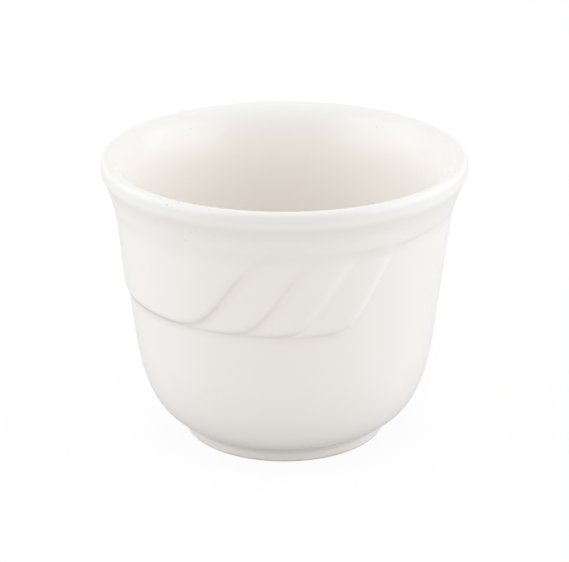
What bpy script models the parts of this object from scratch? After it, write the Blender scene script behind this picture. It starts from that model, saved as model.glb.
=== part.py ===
"""A small handleless tea cup with a moulded drapery relief, in metres, +Z up.

The origin is the middle of the foot's underside. The drape's middle faces -X, and the pleats that
leave it to either side mirror each other across the XZ plane, the front ones on the -Y side.
"""

import math

import bmesh
import bpy
import numpy as np

# Rim and lip
RIM_RADIUS = 0.0381
CUP_HEIGHT = 0.0608
LIP_OUTER_ROUND = 0.0010
LIP_INNER_ROUND = 0.0019
LIP_INNER_LEAN = 19.0
LIP_PULL = 0.0025

# Outer wall, from the foot up: belly, straight taper, cove; insets are measured in from the rim, depths down
SEAT_RADIUS = 0.0212
BELLY_INSET = 0.0063
BELLY_HEIGHT = 0.0220
BELLY_SPRING = 19.0
BELLY_LOW_PULL = 0.0043
BELLY_HIGH_PULL = 0.0152
WALL_TOP_INSET = 0.0031
WALL_TOP_DEPTH = 0.0122
COVE_INSET = 0.0008
COVE_DEPTH = 0.0048
COVE_LEAN = 24.0
COVE_LOW_PULL = 0.0019
COVE_HIGH_PULL = 0.0012

# Inside of the bowl
WALL_THICKNESS = 0.0036
FLOOR_THICKNESS = 0.0045
FLOOR_RADIUS = 0.0110
FLOOR_PULL = 0.0110
INNER_BELLY_PULL = 0.0100
INNER_FLARE_PULL = 0.0040

# Foot ring
FOOT_HEIGHT = 0.0029
FOOT_SPREAD = 0.0002
FOOT_WIDTH = 0.0034
FOOT_EDGE = 0.00045
FOOT_DRAFT = 0.0003

# Drapery relief, measured down from the top of the lip
COLLAR_TOP_DEPTH = 0.0063
COLLAR_DEPTH = 0.0098
DRAPE_DEPTH = 0.0277
DRAPE_SAG = 0.0002
DRAPE_HALF_ANGLE = 70.6
FIRST_PLEAT_ANGLE = 18.2
PLEAT_ANGLE = 16.2
PLEATS = 3
FOLD_SLOPE = 58.0
FOLD_LOW_ROUND = 0.0050
FOLD_HIGH_ROUND = 0.0025

# How far the relief stands out from the wall
COLLAR_TOP_RISE = 0.00035
COLLAR_RISE = 0.00050
DRAPE_RISE = 0.00080
PLEAT_TUCK_RISE = 0.00035
PLEAT_EDGE_RISE = 0.00070

# Slip joints between the clay pieces
SLIP_BED = 0.00015
SLIP_SEAM = 0.00040

# How finely round shapes are divided, and where shading breaks
TURN_STEPS = 52
CURVE_STEPS = 5
ARC_STEPS = 5
SHARP_ANGLE = 30.0
MERGE_DISTANCE = 0.000001

# Glaze
GLAZE_WHITE = (0.86, 0.84, 0.80)
FOOT_WHITE = (0.84, 0.82, 0.77)
GLAZE_ROUGHNESS = 0.35
FOOT_ROUGHNESS = 0.5

# Places and angles that follow from the sizes above
LIP_TOP_RADIUS = RIM_RADIUS - LIP_OUTER_ROUND
FLOOR_TOP = FOOT_HEIGHT + FLOOR_THICKNESS
BELLY_RADIUS = RIM_RADIUS - BELLY_INSET
WALL_TOP_RADIUS = RIM_RADIUS - WALL_TOP_INSET
WALL_TOP_HEIGHT = CUP_HEIGHT - WALL_TOP_DEPTH
COVE_RADIUS = RIM_RADIUS - COVE_INSET
COVE_HEIGHT = CUP_HEIGHT - COVE_DEPTH
COLLAR_TOP = CUP_HEIGHT - COLLAR_TOP_DEPTH
COLLAR_EDGE = CUP_HEIGHT - COLLAR_DEPTH
DRAPE_EDGE = CUP_HEIGHT - DRAPE_DEPTH
FOLD_MIDDLE = (COLLAR_EDGE + DRAPE_EDGE) / 2
WALL_LEAN = math.atan2(WALL_TOP_RADIUS - BELLY_RADIUS, WALL_TOP_HEIGHT - BELLY_HEIGHT)


def clear_scene():
    for obj in list(bpy.data.objects):
        bpy.data.objects.remove(obj, do_unlink=True)


def upward(lean):
    """Direction in an outline (radius, height) that leans outwards from straight up."""
    return np.array((math.sin(lean), math.cos(lean)))


def arc(centre, radius, first, last, steps):
    """Points of an arc in an outline, by angle from the horizontal in degrees."""
    angles = np.radians(np.linspace(first, last, steps + 1))
    return [(centre[0] + radius * math.cos(a), centre[1] + radius * math.sin(a)) for a in angles]


def curve(start, start_handle, end_handle, end, steps):
    """Points of a cubic curve in an outline, without its first point."""
    start, end = np.array(start), np.array(end)
    near, far = start + start_handle, end - end_handle
    points = []
    for step in range(1, steps + 1):
        t = step / steps
        s = 1 - t
        points.append(tuple(s**3 * start + 3 * s * s * t * near + 3 * s * t * t * far + t**3 * end))
    return points


def lip_arc():
    """The lip's rounded top, from its outside over to the softer round on its inside."""
    outer_centre = (LIP_TOP_RADIUS, CUP_HEIGHT - LIP_OUTER_ROUND)
    inner_centre = (LIP_TOP_RADIUS, CUP_HEIGHT - LIP_INNER_ROUND)
    points = arc(outer_centre, LIP_OUTER_ROUND, 0, 90, ARC_STEPS - 2)
    return points + arc(inner_centre, LIP_INNER_ROUND, 90, 180 - LIP_INNER_LEAN, ARC_STEPS - 2)[1:]


def outer_side():
    """Outline of the bowl's outside, from the foot up to the lip."""
    seat = (SEAT_RADIUS, FOOT_HEIGHT)
    belly = (BELLY_RADIUS, BELLY_HEIGHT)
    wall_top = (WALL_TOP_RADIUS, WALL_TOP_HEIGHT)
    cove = (COVE_RADIUS, COVE_HEIGHT)
    wall = upward(WALL_LEAN)
    flare = upward(math.radians(COVE_LEAN))
    spring = upward(math.radians(90 - BELLY_SPRING))
    straight_up = upward(0.0)
    points = [seat]
    points += curve(seat, BELLY_LOW_PULL * spring, BELLY_HIGH_PULL * wall, belly, 2 * CURVE_STEPS)
    points += [wall_top]
    points += curve(wall_top, COVE_LOW_PULL * wall, COVE_LOW_PULL * flare, cove, CURVE_STEPS - 1)
    points += curve(cove, COVE_HIGH_PULL * flare, LIP_PULL * straight_up, lip_arc()[0], CURVE_STEPS - 1)
    return points


def inner_side():
    """Outline of the bowl's inside, from the middle of its floor up to the lip."""
    wall = upward(WALL_LEAN)
    inwards = WALL_THICKNESS * np.array((-math.cos(WALL_LEAN), math.sin(WALL_LEAN)))
    belly = inwards + (BELLY_RADIUS, BELLY_HEIGHT)
    wall_top = inwards + (WALL_TOP_RADIUS, WALL_TOP_HEIGHT)
    floor_edge = (FLOOR_RADIUS, FLOOR_TOP)
    level = np.array((1.0, 0.0))
    flare = upward(math.radians(LIP_INNER_LEAN))
    points = [(0.0, FLOOR_TOP), floor_edge]
    points += curve(floor_edge, FLOOR_PULL * level, INNER_BELLY_PULL * wall, belly, 2 * CURVE_STEPS)
    points += [tuple(wall_top)]
    points += curve(wall_top, INNER_FLARE_PULL * wall, INNER_FLARE_PULL * flare, lip_arc()[-1], CURVE_STEPS)
    return points


OUTER_SIDE = outer_side()


def wall_radius(height):
    """Radius of the bowl's outside at a height."""
    radii, heights = zip(*OUTER_SIDE)
    return float(np.interp(height, heights, radii))


def fold_swing(height, beside=0.0):
    """Angle along the wall from the middle of a fold's leaning edge to its place at a height.

    In the unrolled wall the edge is a straight slope with an arc at either end. With beside, the line
    runs that far out on the fold's low side.
    """
    slope = math.radians(FOLD_SLOPE)
    low_centre = DRAPE_EDGE + FOLD_LOW_ROUND
    low_end = low_centre - FOLD_LOW_ROUND * math.cos(slope)
    high_centre = COLLAR_EDGE - FOLD_HIGH_ROUND
    high_end = high_centre + FOLD_HIGH_ROUND * math.cos(slope)
    low_round = FOLD_LOW_ROUND + beside
    high_round = FOLD_HIGH_ROUND - beside
    if height < low_centre - low_round * math.cos(slope):
        across = (low_end - FOLD_MIDDLE) / math.tan(slope) - FOLD_LOW_ROUND * math.sin(slope)
        across += math.sqrt(max(low_round**2 - (low_centre - height) ** 2, 0.0))
    elif height > high_centre + high_round * math.cos(slope):
        across = (high_end - FOLD_MIDDLE) / math.tan(slope) + FOLD_HIGH_ROUND * math.sin(slope)
        across -= math.sqrt(max(high_round**2 - (height - high_centre) ** 2, 0.0))
    else:
        across = (height - FOLD_MIDDLE) / math.tan(slope) + beside / math.sin(slope)
    return across / wall_radius(FOLD_MIDDLE)


def fold_heights(top):
    """Heights that follow a fold's edge from the drape's lower edge up, close together in its arcs."""
    slope = math.radians(FOLD_SLOPE)
    turns = np.linspace(0, slope, ARC_STEPS)
    low = [DRAPE_EDGE + FOLD_LOW_ROUND * (1 - math.cos(turn)) for turn in turns]
    high = [COLLAR_EDGE - FOLD_HIGH_ROUND * (1 - math.cos(turn)) for turn in turns]
    return low + [FOLD_MIDDLE] + [h for h in reversed(high) if h < top] + [top]


def on_wall(swing, height, rise, side):
    """Point that stands out from the wall, by its angle from the drape's middle to the front (-1) or back."""
    radius = wall_radius(height) + rise
    return (-radius * math.cos(swing), side * radius * math.sin(swing), height)


def laid_on_wall(name, rows, closed):
    """Solid skin of clay on the wall, from rows of (bedded point, outer point), each row of equal length.

    A fold leans towards the end of its rows, so each cell is split along its shorter diagonal.
    """
    bm = bmesh.new()
    outer = {}
    grid = []
    for row in rows:
        verts = []
        for bedded, proud in row:
            vert = bm.verts.new(bedded)
            outer[tuple(vert.co)] = proud
            verts.append(vert)
        grid.append(verts)
    columns = len(grid[0])
    for lower, upper in zip(grid, grid[1:]):
        for i in range(columns if closed else columns - 1):
            j = (i + 1) % columns
            bm.faces.new((lower[i], lower[j], upper[i]))
            bm.faces.new((lower[j], upper[j], upper[i]))
    lifted = bmesh.ops.extrude_face_region(bm, geom=bm.faces[:])["geom"]
    for vert in lifted:
        if isinstance(vert, bmesh.types.BMVert):
            vert.co = outer[tuple(vert.co)]
    bmesh.ops.recalc_face_normals(bm, faces=bm.faces[:])
    mesh = bpy.data.meshes.new(name)
    bm.to_mesh(mesh)
    bm.free()
    mesh.shade_smooth()
    mesh.set_sharp_from_angle(angle=math.radians(SHARP_ANGLE))
    return add_object(name, mesh)


def add_object(name, mesh):
    obj = bpy.data.objects.new(name, mesh)
    bpy.context.scene.collection.objects.link(obj)
    return obj


def turned(name, outline, closed):
    """Solid of revolution from an outline of (radius, height) that runs down its outer side."""
    mesh = bpy.data.meshes.new(name)
    edges = [(i, i + 1) for i in range(len(outline) - 1)]
    if closed:
        edges.append((len(outline) - 1, 0))
    mesh.from_pydata([(radius, 0.0, height) for radius, height in outline], edges, [])
    obj = add_object(name, mesh)
    screw = obj.modifiers.new("turn", "SCREW")
    screw.axis = "Z"
    screw.steps = TURN_STEPS
    screw.render_steps = TURN_STEPS
    screw.use_merge_vertices = True
    screw.merge_threshold = MERGE_DISTANCE
    screw.use_smooth_shade = True
    return obj


def make_bowl():
    outline = inner_side() + lip_arc()[-2:0:-1] + OUTER_SIDE[::-1] + [(0.0, FOOT_HEIGHT)]
    return turned("bowl", outline, closed=False)


def make_foot_ring():
    top = FOOT_HEIGHT - SLIP_BED
    outer = SEAT_RADIUS + FOOT_SPREAD
    inner = outer - FOOT_WIDTH
    outline = [(SEAT_RADIUS, top)]
    outline += arc((outer - FOOT_EDGE, FOOT_EDGE), FOOT_EDGE, 0, -90, ARC_STEPS // 2)
    outline += arc((inner + FOOT_EDGE, FOOT_EDGE), FOOT_EDGE, -90, -180, ARC_STEPS // 2)
    outline += [(inner - FOOT_DRAFT, top)]
    return turned("foot_ring", outline, closed=True)


def collar_lower_line():
    """Lower line of the collar as (swing, height), from the drape's middle round to the far side."""
    middle = math.radians(DRAPE_HALF_ANGLE)
    low_swing = middle + fold_swing(DRAPE_EDGE)
    high_swing = middle + fold_swing(COLLAR_EDGE)
    line = []
    for swing in np.linspace(0, low_swing, 2 * CURVE_STEPS)[:-1]:
        sag = DRAPE_SAG * (1 + math.cos(math.pi * swing / low_swing)) / 2
        line.append((swing, DRAPE_EDGE - sag))
    line += [(middle + fold_swing(height), height) for height in fold_heights(COLLAR_EDGE)]
    line += [(swing, COLLAR_EDGE) for swing in np.linspace(high_swing, math.pi, 4 * CURVE_STEPS)[1:]]
    return line


def collar_rise(height):
    """The collar stands out most at the drape's lower edge and thins out towards the lip."""
    heights = (DRAPE_EDGE, COLLAR_EDGE, COLLAR_TOP)
    return float(np.interp(height, heights, (DRAPE_RISE, COLLAR_RISE, COLLAR_TOP_RISE)))


def make_drape_collar():
    half = collar_lower_line()
    line = [(swing, height, -1) for swing, height in half]
    line += [(swing, height, 1) for swing, height in half[-2:0:-1]]
    rows = []
    for share in np.linspace(0, 1, CURVE_STEPS):
        row = []
        for swing, low, side in line:
            height = low + share * (COLLAR_TOP - low)
            bedded = on_wall(swing, height, SLIP_BED, side)
            row.append((bedded, on_wall(swing, height, collar_rise(height), side)))
        rows.append(row)
    return laid_on_wall("drape_collar", rows, closed=True)


def fold_angle(fold):
    """Angle from the drape's middle to the middle of a fold's edge: 0 is the drape's own edge."""
    if fold == 0:
        return math.radians(DRAPE_HALF_ANGLE)
    return math.radians(DRAPE_HALF_ANGLE + FIRST_PLEAT_ANGLE + (fold - 1) * PLEAT_ANGLE)


def make_pleat(name, fold, side):
    """One pleat: tucked low behind the fold before it, rising to its own leaning edge."""
    rows = []
    for height in fold_heights(COLLAR_EDGE - SLIP_SEAM):
        tucked = fold_angle(fold - 1) + fold_swing(height, SLIP_SEAM)
        edge = fold_angle(fold) + fold_swing(height)
        row = []
        for share in np.linspace(0, 1, CURVE_STEPS - 1):
            swing = tucked + share * (edge - tucked)
            rise = PLEAT_TUCK_RISE + share * (PLEAT_EDGE_RISE - PLEAT_TUCK_RISE)
            row.append((on_wall(swing, height, SLIP_BED, side), on_wall(swing, height, rise, side)))
        rows.append(row)
    return laid_on_wall(name, rows, closed=False)


def glaze(obj, colour, roughness):
    material = bpy.data.materials.new(obj.name + "_finish")
    material.use_nodes = True
    shader = material.node_tree.nodes["Principled BSDF"]
    shader.inputs["Base Color"].default_value = (*colour, 1.0)
    shader.inputs["Roughness"].default_value = roughness
    shader.inputs["Metallic"].default_value = 0.0
    obj.data.materials.append(material)


def main():
    clear_scene()
    cup = bpy.data.objects.new("tea_cup", None)
    bpy.context.scene.collection.objects.link(cup)
    pieces = [make_bowl(), make_drape_collar()]
    for fold in range(1, PLEATS + 1):
        pieces.append(make_pleat(f"pleat_front_{fold}", fold, -1))
        pieces.append(make_pleat(f"pleat_back_{fold}", fold, 1))
    for piece in pieces:
        glaze(piece, GLAZE_WHITE, GLAZE_ROUGHNESS)
    foot = make_foot_ring()
    glaze(foot, FOOT_WHITE, FOOT_ROUGHNESS)
    for piece in [*pieces, foot]:
        piece.parent = cup


main()
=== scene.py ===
# %% [markdown]
# # A glazed tea cup with a draped collar
# A small handleless cup of white vitrified clay under a satin, ivory-white glaze. Moulded drapery runs
# round it below the lip: one wide drape hangs on one side, and from either edge of it three leaning pleats
# follow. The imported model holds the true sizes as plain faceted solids. This lesson gives each clay piece
# its fine surface, glazes the pieces, lights them and sets up the camera.

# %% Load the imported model
from math import atan2, cos, degrees, pi, radians, sin

import bmesh
import bpy
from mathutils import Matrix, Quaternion, Vector
from mathutils.geometry import interpolate_bezier


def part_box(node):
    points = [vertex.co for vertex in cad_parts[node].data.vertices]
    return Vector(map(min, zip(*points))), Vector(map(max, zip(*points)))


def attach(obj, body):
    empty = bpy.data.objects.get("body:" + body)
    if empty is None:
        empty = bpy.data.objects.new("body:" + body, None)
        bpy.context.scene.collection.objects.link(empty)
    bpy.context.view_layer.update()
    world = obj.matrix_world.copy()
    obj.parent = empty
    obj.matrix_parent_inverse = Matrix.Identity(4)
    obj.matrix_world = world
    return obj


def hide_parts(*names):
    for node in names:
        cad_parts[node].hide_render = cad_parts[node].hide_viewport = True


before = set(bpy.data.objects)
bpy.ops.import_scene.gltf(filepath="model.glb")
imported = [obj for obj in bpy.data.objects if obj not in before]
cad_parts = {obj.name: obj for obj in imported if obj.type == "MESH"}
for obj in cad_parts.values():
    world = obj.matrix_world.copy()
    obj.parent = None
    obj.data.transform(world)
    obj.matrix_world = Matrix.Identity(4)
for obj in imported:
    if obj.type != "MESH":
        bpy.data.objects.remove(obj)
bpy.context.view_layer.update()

print("packed pieces:", ", ".join(sorted(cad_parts)))

# %% [markdown]
# ## The sizes that drive the surface
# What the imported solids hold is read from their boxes, so the fine surface can't drift away from them. What
# a box can't tell, such as how full the belly is, is written here as a named size. All lengths are in
# metres, and all leans are in degrees from straight up.

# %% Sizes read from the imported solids
SLIP_SEAM = 0.0004
bowl_low, bowl_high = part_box("bowl")
pleat_low, pleat_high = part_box("pleat_front_1")
RIM_RADIUS = bowl_high.x
CUP_HEIGHT = bowl_high.z
FOOT_HEIGHT = bowl_low.z
FOOT_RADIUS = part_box("foot_ring")[1].x
DRAPE_EDGE = pleat_low.z
COLLAR_EDGE = pleat_high.z + SLIP_SEAM
print(f"rim {2000 * RIM_RADIUS:.1f} mm, height {1000 * CUP_HEIGHT:.1f} mm, foot {2000 * FOOT_RADIUS:.1f} mm")
print(f"drape edge at {1000 * DRAPE_EDGE:.1f} mm, collar edge at {1000 * COLLAR_EDGE:.1f} mm")

# %% Sizes of the bowl's outline
SEAT_RADIUS = FOOT_RADIUS - 0.0002
BELLY_RADIUS = RIM_RADIUS - 0.0063
BELLY_HEIGHT = 0.0220
BELLY_SPRING = 71.0
BELLY_LOW_PULL = 0.0043
BELLY_HIGH_PULL = 0.0152
WALL_TOP_RADIUS = RIM_RADIUS - 0.0031
WALL_TOP_HEIGHT = CUP_HEIGHT - 0.0122
WALL_LEAN = degrees(atan2(WALL_TOP_RADIUS - BELLY_RADIUS, WALL_TOP_HEIGHT - BELLY_HEIGHT))
COVE_RADIUS = RIM_RADIUS - 0.0008
COVE_HEIGHT = CUP_HEIGHT - 0.0048
COVE_LEAN = 24.0
COVE_LOW_PULL = 0.0019
COVE_HIGH_PULL = 0.0012
LIP_OUTER_ROUND = 0.0011
LIP_OUTER_STRETCH = 1.7
LIP_PULL = 0.0016
LIP_INNER_PULL = 0.0026
WALL_THICKNESS = 0.0036
FLOOR_TOP = FOOT_HEIGHT + 0.0045
FLOOR_RADIUS = 0.0110
FLOOR_PULL = 0.0110
INNER_BELLY_PULL = 0.0100
INNER_FLARE_PULL = 0.0065
UNDERSIDE_DISH = 0.0005
CURVE_STEPS = 16
print(f"wall leans {WALL_LEAN:.1f} degrees and is {1000 * WALL_THICKNESS:.1f} mm thick")

# %% [markdown]
# ## The bowl's outline
# The bowl is shaped on a wheel, so one outline turned round the axis is the whole rule of its form. The
# belly, the cove under the lip and the inside are drawn as Bezier curves that meet smoothly, and the lip's
# outer round as an arc stretched upwards. A few end points and pulls say all of it, which a dense list of
# measured points would not.


# %% Ways to draw an outline
def place(radius, height):
    """Point of an outline, drawn in the XZ plane."""
    return Vector((radius, 0.0, height))


def upward(lean):
    """Direction in an outline that leans outwards from straight up."""
    return place(sin(radians(lean)), cos(radians(lean)))


def bend(start, start_pull, end_pull, end, steps):
    """Points of a Bezier curve between two points, without the first."""
    return interpolate_bezier(start, start + start_pull, end - end_pull, end, steps + 1)[1:]


def line(start, end, steps):
    """Points of a straight stretch, without the first."""
    return [start.lerp(end, step / steps) for step in range(1, steps + 1)]


def arc(centre, radius, first, last, steps, stretch=1.0):
    """Points of an arc, by angle from the horizontal in degrees, and stretched upwards or not."""
    angles = [radians(first + (last - first) * step / steps) for step in range(steps + 1)]
    return [centre + radius * place(cos(angle), stretch * sin(angle)) for angle in angles]


def crossing(points, axis, value):
    """Point where an outline first passes a value on an axis: 0 is its radius and 2 its height."""
    after = next(i for i, point in enumerate(points) if point[axis] > value)
    low, high = points[after - 1], points[after]
    return low.lerp(high, (value - low[axis]) / (high[axis] - low[axis]))


print("outlines: points, straight stretches, arcs and Bezier curves")


# %% Draw the bowl's outline
SEAT = place(SEAT_RADIUS, FOOT_HEIGHT)
BELLY = place(BELLY_RADIUS, BELLY_HEIGHT)
WALL_TOP = place(WALL_TOP_RADIUS, WALL_TOP_HEIGHT)
COVE = place(COVE_RADIUS, COVE_HEIGHT)
WALL, FLARE = upward(WALL_LEAN), upward(COVE_LEAN)


def outer_side(steps):
    """The bowl's outside from the foot up to the lip."""
    spring = BELLY_LOW_PULL * upward(BELLY_SPRING)
    points = [SEAT] + bend(SEAT, spring, BELLY_HIGH_PULL * WALL, BELLY, 3 * steps)
    points += line(BELLY, WALL_TOP, steps)
    points += bend(WALL_TOP, COVE_LOW_PULL * WALL, COVE_LOW_PULL * FLARE, COVE, steps)
    return points + bend(COVE, COVE_HIGH_PULL * FLARE, LIP_PULL * upward(0), lip_top()[0], steps)


def lip_top():
    """The lip's outer round, from its widest point up to its crown."""
    centre = place(RIM_RADIUS - LIP_OUTER_ROUND, CUP_HEIGHT - LIP_OUTER_STRETCH * LIP_OUTER_ROUND)
    return arc(centre, LIP_OUTER_ROUND, 0, 90, CURVE_STEPS, LIP_OUTER_STRETCH)


def inner_side():
    """The bowl's inside from the middle of its floor up to the lip's crown."""
    inwards = WALL_THICKNESS * upward(WALL_LEAN - 90)
    belly, wall_top = BELLY + inwards, WALL_TOP + inwards
    middle, floor_edge = place(0, FLOOR_TOP), place(FLOOR_RADIUS, FLOOR_TOP)
    points = [middle] + line(middle, floor_edge, CURVE_STEPS)
    points += bend(floor_edge, FLOOR_PULL * upward(90), INNER_BELLY_PULL * WALL, belly, 3 * CURVE_STEPS)
    points += line(belly, wall_top, CURVE_STEPS)
    crown, over = lip_top()[-1], LIP_INNER_PULL * upward(90)
    return points + bend(wall_top, INNER_FLARE_PULL * WALL, over, crown, 3 * CURVE_STEPS)


def underside():
    """The slightly dished bottom inside the foot ring, from its edge to the middle."""
    reach = SEAT_RADIUS / 3 * upward(-90)
    return bend(SEAT, reach, reach, place(0, FOOT_HEIGHT + UNDERSIDE_DISH), CURVE_STEPS)


bowl_outline = inner_side() + lip_top()[-2:0:-1] + outer_side(CURVE_STEPS)[::-1] + underside()
print(f"bowl outline: {len(bowl_outline)} points")

# %% [markdown]
# ## A wheel made of nodes
# Turning an outline is a rule, so Geometry Nodes do it. A flat grid has one column for each step of the
# turn and one row for each point of the outline. Each grid point looks up its outline point by its row, and
# is swung round the axis by its column. Merging by distance then closes the seam and the poles.

# %% Helpers that build node trees
WELD = 0.000001
MODES = {"MapRange": "interpolation_type", "Mix": "data_type", "VectorRotate": "rotation_type"}


def adder(tree):
    """Make the function that adds nodes to a tree."""

    def add(kind, *feeds, profile=(), **settings):
        """Add a node with its settings and the points of its curve.

        Its kind may be followed by its mode, and a mode alone, such as ADD, is that of a Math node. Feeds
        go to its inputs in order, or by name when they come in a dict. Each is a value, a socket, a node
        that gives its first output, or a list of nodes.
        """
        kind, *mode = kind.split()
        if kind.isupper():
            kind, mode = "Math", [kind]
        # Trees of all kinds share shader nodes such as Math, and a group's two ends belong to no family.
        names = (family + kind for family in (tree.bl_idname[:-4], "ShaderNode", ""))
        node = tree.nodes.new(next(name for name in names if hasattr(bpy.types, name)))
        settings |= {MODES.get(kind, "operation"): word for word in mode}
        for name, value in settings.items():
            setattr(node, name, value)
        for point in profile:
            node.mapping.curves[0].points.new(*point)
        if profile:
            node.mapping.update()
        sockets = [socket for socket in node.inputs if socket.enabled]
        pairs = zip(sockets, feeds)
        if feeds and isinstance(feeds[0], dict):
            pairs = [(next(s for s in sockets if s.name == name), value) for name, value in feeds[0].items()]
        for socket, value in pairs:
            for source in value if isinstance(value, list) else [value]:
                if isinstance(source, bpy.types.Node):
                    source = next(s for s in source.outputs if s.enabled)
                if isinstance(source, bpy.types.NodeSocket):
                    tree.links.new(source, socket)
                else:
                    socket.default_value = source
        return node

    return add


def new_tree(name, inputs, outputs, kind="GeometryNodeTree"):
    """Start a tree, and return it, the function that adds its nodes and its inputs.

    Each input has a first value, or only a kind, as each output has.
    """
    tree = bpy.data.node_groups.new(name, kind)
    for label, value in inputs.items():
        socket_kind = value if isinstance(value, str) else type(value).__name__.title()
        socket = tree.interface.new_socket(label, in_out="INPUT", socket_type="NodeSocket" + socket_kind)
        if value != socket_kind:
            socket.default_value = value
    for label, socket_kind in outputs.items():
        tree.interface.new_socket(label, in_out="OUTPUT", socket_type="NodeSocket" + socket_kind)
    add = adder(tree)
    return tree, add, add("NodeGroupInput").outputs


def finish_tree(tree, mesh, material):
    """Close a tree that makes a mesh: weld it, shade it smooth, realize it and set its material."""
    add = adder(tree)
    welded = add("MergeByDistance", {"Geometry": mesh, "Distance": WELD})
    real = add("RealizeInstances", add("SetShadeSmooth", welded))
    glazed = add("SetMaterial", {"Geometry": real, "Material": material})
    add("NodeGroupOutput", {"Mesh": glazed})
    print(f"{tree.name}: {len(tree.nodes)} nodes")


print("node helpers: adder, new_tree, finish_tree")

# %% The wheel tree
TURN_STEPS = 288
GRID_HALF = 0.5

wheel, add, given = new_tree(
    "Turned on the wheel",
    {"Outline": "Object", "Rows": 2, "Turn steps": TURN_STEPS, "Material": "Material"},
    {"Mesh": "Geometry"},
)
columns = add("ADD", given["Turn steps"], 1.0)
grid = add("MeshGrid", 1.0, 1.0, columns, given["Rows"])
position = add("InputPosition")
spot = add("SeparateXYZ", position)
last_row = add("SUBTRACT", given["Rows"], 1.0)
share = add("ADD", spot.outputs["Y"], GRID_HALF)
row = add("ROUND", add("MULTIPLY", share, last_row))
outline = add("ObjectInfo", given["Outline"]).outputs["Geometry"]
by_row = {"Geometry": outline, "Value": position, "Index": row}
looked_up = add("SampleIndex", by_row, data_type="FLOAT_VECTOR", domain="POINT")
turn = add("MULTIPLY", spot.outputs["X"], 2 * pi)
swung = add("VectorRotate Z_AXIS", {"Vector": looked_up, "Angle": turn})
turned = add("SetPosition", {"Geometry": grid, "Position": swung})
finish_tree(wheel, turned, given["Material"])


# %% Run a tree and keep its mesh
def new_object(name, data):
    """Put a new object in the scene."""
    obj = bpy.data.objects.new(name, data)
    bpy.context.scene.collection.objects.link(obj)
    return obj


def guide(name, points):
    """Object that only carries points in order for a tree to read."""
    mesh = bpy.data.meshes.new(name)
    mesh.from_pydata(points, [(i, i + 1) for i in range(len(points) - 1)], [])
    return new_object(name, mesh)


def make(name, tree, sizes):
    """Run a tree on an empty mesh, its inputs set by identifier, and keep the result as a plain mesh."""
    piece = new_object(name, bpy.data.meshes.new(name))
    modifier = piece.modifiers.new("shape", "NODES")
    modifier.node_group = tree
    for socket in tree.interface.items_tree:
        if socket.in_out == "INPUT" and socket.name in sizes:
            modifier[socket.identifier] = sizes[socket.name]
    depsgraph = bpy.context.evaluated_depsgraph_get()
    piece.data = bpy.data.meshes.new_from_object(piece.evaluated_get(depsgraph))
    piece.data.name = name
    piece.modifiers.remove(modifier)
    face_outwards(piece)
    return piece


def face_outwards(piece):
    """Turn all faces of a closed mesh outwards, and print what it is made of."""
    shell = bmesh.new()
    shell.from_mesh(piece.data)
    bmesh.ops.recalc_face_normals(shell, faces=shell.faces)
    # That can turn a thin, bent skin inside out, as it does the first pleats.
    if shell.calc_volume(signed=True) < 0:
        bmesh.ops.reverse_faces(shell, faces=shell.faces)
    open_edges = sum(not edge.is_manifold for edge in shell.edges)
    triangles = sum(len(face.verts) - 2 for face in shell.faces)
    cubic_mm = 1e9 * shell.calc_volume(signed=True)
    shell.to_mesh(piece.data)
    shell.free()
    print(f"{piece.name}: {triangles} triangles, {open_edges} open edges, {cubic_mm:.0f} cubic mm")


def hand_over(piece, node):
    """Parent a piece to the root body and hide the imported solid that it stands for."""
    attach(piece, "root")
    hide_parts(node)


print("mesh helpers: new_object, guide, make, face_outwards, hand_over")

# %% [markdown]
# ## The glaze
# The cup is dipped in a feldspar glaze that fires to a satin coat a fraction of a millimetre thick. It
# gives the eye an ivory white with a soft, slightly waxy shine. Its colour is darker in the creases, partly
# as pooled glaze and partly as painted shade, and paler on some ridges, where a highlight is painted. Iron
# in the clay comes through as small brown specks, gas leaves pinholes, and the surface dimples faintly. One
# node group works out colour, roughness and bump from Object coordinates, so that every piece wears the
# same coat and its patterns run on across the seams. Painting each piece by hand would break at those seams.


# %% Colours of the glaze and the clay
def linear(hex_colour):
    """sRGB hex colour as linear RGBA."""
    channels = [int(hex_colour[i : i + 2], 16) / 255 for i in (1, 3, 5)]
    return tuple(c / 12.92 if c <= 0.04045 else ((c + 0.055) / 1.055) ** 2.4 for c in channels) + (1.0,)


IVORY = linear("#F5F1EC")
# Pooled glaze colour, also used as painted shade in creases, under the hem and round the foot.
POOLED_GLAZE_AND_SHADE = linear("#D6CFC6")
# Painted highlight on the ridges of the last folds.
RIDGE_HIGHLIGHT_COLOUR = linear("#FFFDFA")
# Painted shade: a cooler, darker tint for the lip and the inside of the rim.
RIM_SHADE_TINT = linear("#F7FAFC")
IRON = linear("#9C7766")
BARE_CLAY = linear("#F0DDD8")
CLAY_GRAIN = linear("#E4D0CA")
print("ivory glaze, linear:", [round(channel, 3) for channel in IVORY[:3]])

# %% Glaze group: where the specks, pinholes and grit lie
SPECK_SPACING = 0.0034
SPECK_RADIUS = 0.00026
SPECK_SHARE = 0.5
RIM_SPECK_SPACING = 0.0012
RIM_SPECK_RADIUS = 0.00034
RIM_SPECK_SHARE = 0.8
RIM_SPECK_ANGLE = 57.0
RIM_SPECK_REACH = 0.0140
RIM_SPECK_AMOUNT = 1.6
PINHOLE_SPACING = 0.0026
PINHOLE_RADIUS = 0.00014
PINHOLE_SHARE = 0.5
SPOT_EDGE = 0.6
GRIT_SIZE = 0.0008
GRIT_START = 0.45
GRIT_FULL = 0.70
# Angle from the drape's middle, height, reach and amount of each gritty patch.
GRIT_PLACES = (
    (62.6, 0.0365, 0.0016, 1.0),
    (66.3, 0.0388, 0.0015, 1.0),
    (72.0, 0.0440, 0.0013, 0.9),
    (86.0, 0.0395, 0.0012, 0.8),
)

coat, add, given = new_tree(
    "Satin glaze",
    {"Pooling": 0.0, "Thinning": 0.0},
    {"Color": "Color", "Roughness": "Float", "Normal": "Vector"},
    kind="ShaderNodeTree",
)
where = add("TexCoord").outputs["Object"]


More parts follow.
